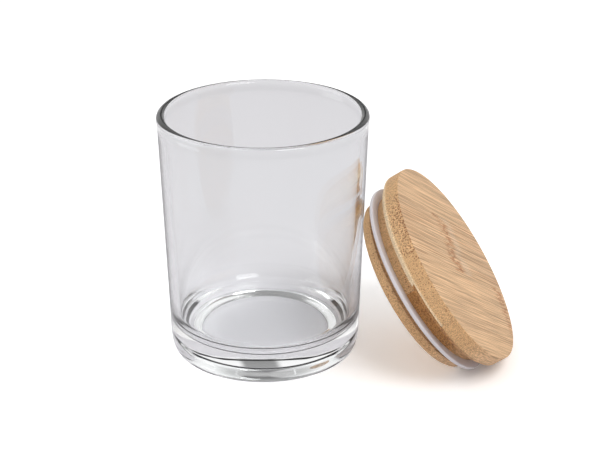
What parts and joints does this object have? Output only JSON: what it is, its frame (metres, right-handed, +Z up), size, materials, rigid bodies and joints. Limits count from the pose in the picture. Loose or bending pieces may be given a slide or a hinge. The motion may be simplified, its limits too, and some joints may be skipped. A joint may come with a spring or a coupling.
{
  "type": "empty candle jar",
  "caption": "Empty clear glass candle jar with a thick base, and a round bamboo plug lid with a silicone seal leaning against its side.",
  "frame": {"origin": "centre of the jar's flat underside", "axes": "+Z up along the jar's axis, +X towards the side that the lid leans on; the lid's axis lies in the XZ plane"},
  "size_m": [0.138, 0.0816, 0.096],
  "materials": {
    "clear_glass": "polished",
    "bamboo": "sanded satin",
    "white_silicone": "satin"
  },
  "bodies": {
    "jar": {"glass_jar": "clear_glass"},
    "lid": {"lid_top_slat_1": "bamboo", "lid_top_slat_2": "bamboo", "lid_top_slat_3": "bamboo", "lid_top_slat_4": "bamboo", "lid_middle_slat_1": "bamboo", "lid_middle_slat_2": "bamboo", "lid_middle_slat_3": "bamboo", "lid_bottom_slat_1": "bamboo", "lid_bottom_slat_2": "bamboo", "lid_bottom_slat_3": "bamboo", "silicone_seal": "white_silicone"}
  },
  "joints": [
    {"name": "lid_tip", "type": "hinge", "parent": "jar", "child": "lid", "pos_m": [0.09495, 0, 0.00395], "axis": [0, 1, 0], "range_deg": [0, 125]}
  ]
}
